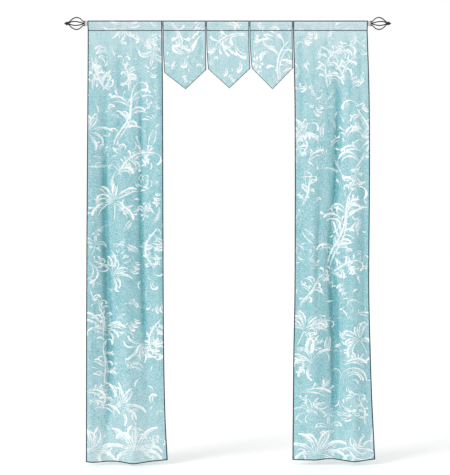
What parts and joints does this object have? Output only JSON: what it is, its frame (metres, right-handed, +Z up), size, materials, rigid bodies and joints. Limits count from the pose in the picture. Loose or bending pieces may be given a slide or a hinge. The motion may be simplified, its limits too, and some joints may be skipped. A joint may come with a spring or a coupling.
{
  "type": "pair of rod-pocket curtain panels with a pointed pennant valance on a curtain rod",
  "caption": "Narrow floor-length panels and short pointed pennants of aqua scroll-patterned cloth, threaded by sewn pockets on a round metal rod with open basket finials.",
  "frame": {"origin": "on the rod's axis, half way along the rod, where the rod's brackets hold it up", "axes": "+X along the rod to the right as seen from the room, -Y towards the room, +Z up"},
  "size_m": [1.5858, 0.065, 2.1622],
  "materials": {
    "curtain_cloth": "soft matte cloth, light aqua with a white scrolling leaf pattern",
    "rod_metal": "satin"
  },
  "bodies": {
    "root": {"rod": "rod_metal", "finial_left_collar": "rod_metal", "finial_left_bar_1": "rod_metal", "finial_left_bar_2": "rod_metal", "finial_left_bar_3": "rod_metal", "finial_left_bar_4": "rod_metal", "finial_left_bud": "rod_metal", "finial_right_collar": "rod_metal", "finial_right_bar_1": "rod_metal", "finial_right_bar_2": "rod_metal", "finial_right_bar_3": "rod_metal", "finial_right_bar_4": "rod_metal", "finial_right_bud": "rod_metal", "panel_left": "curtain_cloth", "panel_right": "curtain_cloth", "pennant_left": "curtain_cloth", "pennant_middle": "curtain_cloth", "pennant_right": "curtain_cloth"}
  },
  "joints": []
}
